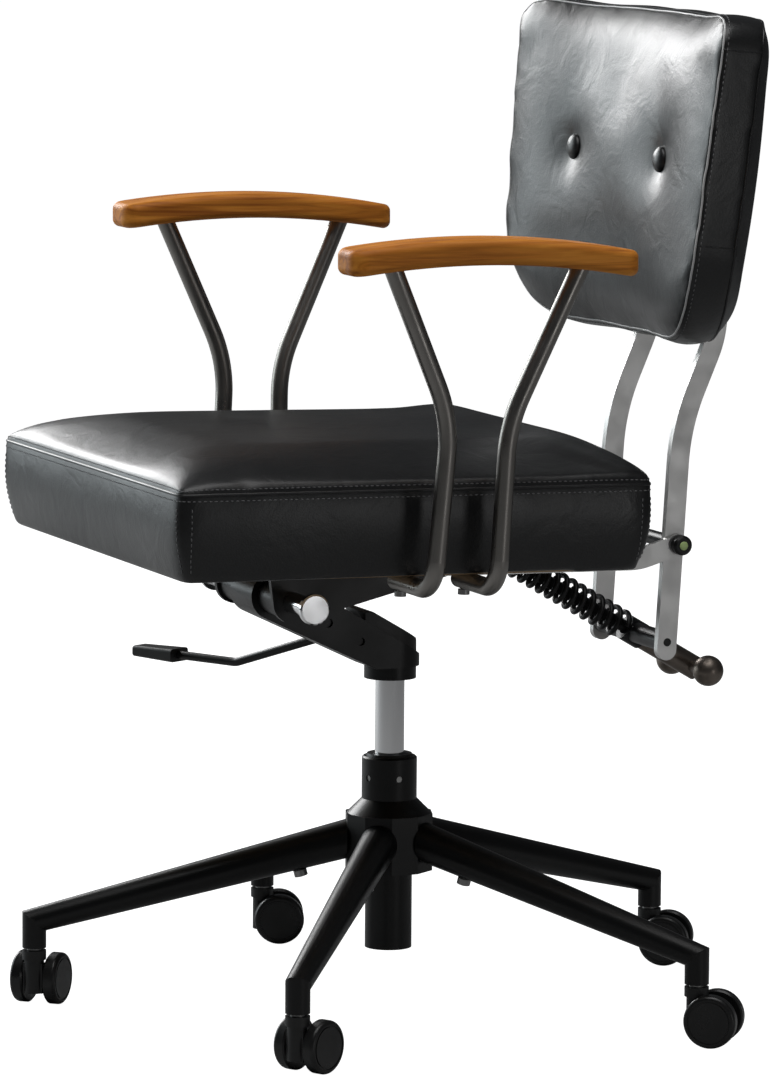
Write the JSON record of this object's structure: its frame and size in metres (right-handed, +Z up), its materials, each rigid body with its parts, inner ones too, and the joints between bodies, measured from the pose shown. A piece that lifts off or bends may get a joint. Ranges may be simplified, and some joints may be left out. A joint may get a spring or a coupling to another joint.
{
  "type": "executive office chair",
  "caption": "Low-back swivel armchair with padded leather seat and back, wooden arm pads, gas lift, tilting seat, sprung reclining back and star base on casters.",
  "frame": {"origin": "on the floor, on the axis of the lift column", "axes": "+Z up, -Y the way the sitter faces, +X the sitter's left"},
  "size_m": [0.6861, 0.7142, 0.9557],
  "materials": {
    "black_steel": "satin black powder coat",
    "pewter_steel": "brushed dark nickel",
    "bolt_steel": "plain zinc-plated steel",
    "chrome": "polished chrome",
    "black_plastic": "fine matte black",
    "wheel_plastic": "satin black tread",
    "oak": "oiled oak, warm brown",
    "plywood": "raw birch plywood",
    "seat_leather": "smooth black leather over foam",
    "back_leather": "smooth black leather over foam, light topstitching"
  },
  "bodies": {
    "base": {"base_hub": "black_steel", "base_leg_1": "black_steel", "base_leg_2": "black_steel", "base_leg_3": "black_steel", "base_leg_4": "black_steel", "base_leg_5": "black_steel", "base_bolts": "bolt_steel", "lift_outer_tube": "black_steel", "lift_guide_bush": "black_plastic", "thrust_bearing": "bolt_steel"},
    "piston": {"piston_rod": "bolt_steel"},
    "control": {"lift_cylinder": "chrome", "mechanism_housing": "black_steel", "mechanism_cover": "black_plastic", "torsion_bushes": "black_plastic"},
    "button": {"release_button": "bolt_steel"},
    "lever": {"lever_rod": "bolt_steel", "lever_paddle": "black_plastic"},
    "seat": {"seat_plate": "black_steel", "torsion_shaft": "chrome", "seat_pan": "plywood", "seat_cushion": "seat_leather", "back_bracket_left": "pewter_steel", "back_bracket_right": "pewter_steel", "pivot_shaft": "black_steel", "spring_anchor": "black_steel", "arm_tubes_left": "pewter_steel", "arm_tubes_right": "pewter_steel", "arm_pad_left": "oak", "arm_pad_right": "oak", "seat_bolts": "bolt_steel"},
    "back": {"back_bar_left": "pewter_steel", "back_bar_right": "pewter_steel", "back_panel": "plywood", "back_cushion": "back_leather", "back_buttons": "back_leather"},
    "rod": {"spring_rod": "black_steel", "spring": "black_steel"},
    "crossbar": {"trunnion": "black_steel"},
    "handle": {"tension_handle": "pewter_steel"},
    "caster_1": {"caster_housing_1": "black_plastic", "caster_pins_1": "bolt_steel"},
    "wheel_1a": {"caster_wheel_1a": "wheel_plastic"},
    "wheel_1b": {"caster_wheel_1b": "wheel_plastic"},
    "caster_2": {"caster_housing_2": "black_plastic", "caster_pins_2": "bolt_steel"},
    "wheel_2a": {"caster_wheel_2a": "wheel_plastic"},
    "wheel_2b": {"caster_wheel_2b": "wheel_plastic"},
    "caster_3": {"caster_housing_3": "black_plastic", "caster_pins_3": "bolt_steel"},
    "wheel_3a": {"caster_wheel_3a": "wheel_plastic"},
    "wheel_3b": {"caster_wheel_3b": "wheel_plastic"},
    "caster_4": {"caster_housing_4": "black_plastic", "caster_pins_4": "bolt_steel"},
    "wheel_4a": {"caster_wheel_4a": "wheel_plastic"},
    "wheel_4b": {"caster_wheel_4b": "wheel_plastic"},
    "caster_5": {"caster_housing_5": "black_plastic", "caster_pins_5": "bolt_steel"},
    "wheel_5a": {"caster_wheel_5a": "wheel_plastic"},
    "wheel_5b": {"caster_wheel_5b": "wheel_plastic"}
  },
  "joints": [
    {"name": "swivel", "type": "hinge", "parent": "base", "child": "piston", "pos_m": [0, 0, 0], "axis": [0, 0, 1], "continuous": true},
    {"name": "lift", "type": "slide", "parent": "piston", "child": "control", "axis": [0, 0, 1], "range_m": [-0.06, 0.04]},
    {"name": "seat_tilt", "type": "hinge", "parent": "control", "child": "seat", "pos_m": [0, -0.1305, 0.4056], "axis": [-1, 0, 0], "range_deg": [0, 12], "stiffness_Nm_per_rad": 350, "springref_deg": -8.59},
    {"name": "back_tilt", "type": "hinge", "parent": "seat", "child": "back", "pos_m": [0, 0.264, 0.4444], "axis": [-1, 0, 0], "range_deg": [0, 15], "stiffness_Nm_per_rad": 60, "springref_deg": -11.46, "deforming": ["spring"]},
    {"name": "rod_swing", "type": "hinge", "parent": "seat", "child": "rod", "pos_m": [0, 0.11, 0.4345], "axis": [-1, 0, 0], "range_deg": [-0.5, 4]},
    {"name": "crossbar_turn", "type": "hinge", "parent": "back", "child": "crossbar", "pos_m": [0, 0.2553, 0.3495], "axis": [-1, 0, 0], "range_deg": [-13, 0.5]},
    {"name": "handle_turn", "type": "hinge", "parent": "rod", "child": "handle", "pos_m": [0, 0.2553, 0.3495], "axis": [0, 0.8632, -0.5049], "continuous": true},
    {"name": "lever_lift", "type": "hinge", "parent": "control", "child": "lever", "pos_m": [-0.028, -0.052, 0.357], "axis": [-0.4695, 0.8829, 0], "range_deg": [0, 4], "stiffness_Nm_per_rad": 2, "springref_deg": -8.59},
    {"name": "button_press", "type": "slide", "parent": "control", "child": "button", "axis": [0, 0, -1], "range_m": [0, 0.0036]},
    {"name": "caster_swivel_1", "type": "hinge", "parent": "base", "child": "caster_1", "pos_m": [-0.10749, -0.32256, 0.057], "axis": [0, 0, 1], "continuous": true},
    {"name": "wheel_spin_1a", "type": "hinge", "parent": "caster_1", "child": "wheel_1a", "pos_m": [-0.12012, -0.31119, 0.025], "axis": [-0.6691, -0.7431, 0], "continuous": true},
    {"name": "wheel_spin_1b", "type": "hinge", "parent": "caster_1", "child": "wheel_1b", "pos_m": [-0.12012, -0.31119, 0.025], "axis": [-0.6691, -0.7431, 0], "continuous": true},
    {"name": "caster_swivel_2", "type": "hinge", "parent": "base", "child": "caster_2", "pos_m": [0.27356, -0.20191, 0.057], "axis": [0, 0, 1], "continuous": true},
    {"name": "wheel_spin_2a", "type": "hinge", "parent": "caster_2", "child": "wheel_2a", "pos_m": [0.26488, -0.18729, 0.025], "axis": [-0.8599, -0.5105, 0], "continuous": true},
    {"name": "wheel_spin_2b", "type": "hinge", "parent": "caster_2", "child": "wheel_2b", "pos_m": [0.26488, -0.18729, 0.025], "axis": [-0.8599, -0.5105, 0], "continuous": true},
    {"name": "caster_swivel_3", "type": "hinge", "parent": "base", "child": "caster_3", "pos_m": [0.27656, 0.19778, 0.057], "axis": [0, 0, 1], "continuous": true},
    {"name": "wheel_spin_3a", "type": "hinge", "parent": "caster_3", "child": "wheel_3a", "pos_m": [0.28702, 0.21117, 0.025], "axis": [-0.788, 0.6157, 0], "continuous": true},
    {"name": "wheel_spin_3b", "type": "hinge", "parent": "caster_3", "child": "wheel_3b", "pos_m": [0.28702, 0.21117, 0.025], "axis": [-0.788, 0.6157, 0], "continuous": true},
    {"name": "caster_swivel_4", "type": "hinge", "parent": "base", "child": "caster_4", "pos_m": [-0.10264, 0.32414, 0.057], "axis": [0, 0, 1], "continuous": true},
    {"name": "wheel_spin_4a", "type": "hinge", "parent": "caster_4", "child": "wheel_4a", "pos_m": [-0.09313, 0.33823, 0.025], "axis": [-0.829, 0.5592, 0], "continuous": true},
    {"name": "wheel_spin_4b", "type": "hinge", "parent": "caster_4", "child": "wheel_4b", "pos_m": [-0.09313, 0.33823, 0.025], "axis": [-0.829, 0.5592, 0], "continuous": true},
    {"name": "caster_swivel_5", "type": "hinge", "parent": "base", "child": "caster_5", "pos_m": [-0.33999, 0.00255, 0.057], "axis": [0, 0, 1], "continuous": true},
    {"name": "wheel_spin_5a", "type": "hinge", "parent": "caster_5", "child": "wheel_5a", "pos_m": [-0.33418, 0.01853, 0.025], "axis": [-0.9397, 0.342, 0], "continuous": true},
    {"name": "wheel_spin_5b", "type": "hinge", "parent": "caster_5", "child": "wheel_5b", "pos_m": [-0.33418, 0.01853, 0.025], "axis": [-0.9397, 0.342, 0], "continuous": true}
  ],
  "couplings": [
    {"joint": "rod_swing", "follows": "back_tilt", "ratio": 0.205},
    {"joint": "crossbar_turn", "follows": "back_tilt", "ratio": -0.795},
    {"joint": "button_press", "follows": "lever_lift", "m_per_rad": 0.0491}
  ]
}
